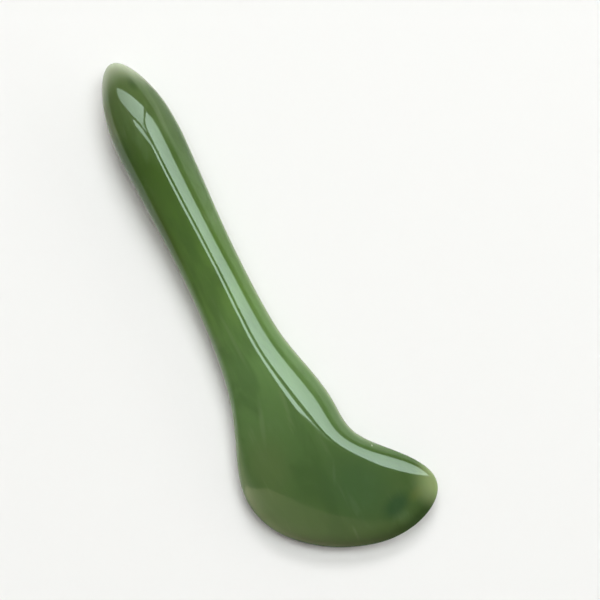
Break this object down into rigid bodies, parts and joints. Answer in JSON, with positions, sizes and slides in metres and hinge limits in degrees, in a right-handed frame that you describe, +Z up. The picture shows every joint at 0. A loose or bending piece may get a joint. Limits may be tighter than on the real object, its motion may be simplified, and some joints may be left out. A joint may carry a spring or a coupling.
{
  "type": "gua sha scraper",
  "caption": "Polished green stone scraper with a pointed butt, a waisted handle and a broad head that turns into a blunt hook.",
  "frame": {"origin": "the middle of the object's box, on the plane that its underside rests on", "axes": "+Y along the handle, from the head to the butt; +X across the handle, towards the hook; +Z up through the thickness, out of the upper face"},
  "size_m": [0.0492, 0.15, 0.0143],
  "materials": {
    "jade": "polished"
  },
  "bodies": {
    "root": {"scraper_body": "jade"}
  },
  "joints": []
}
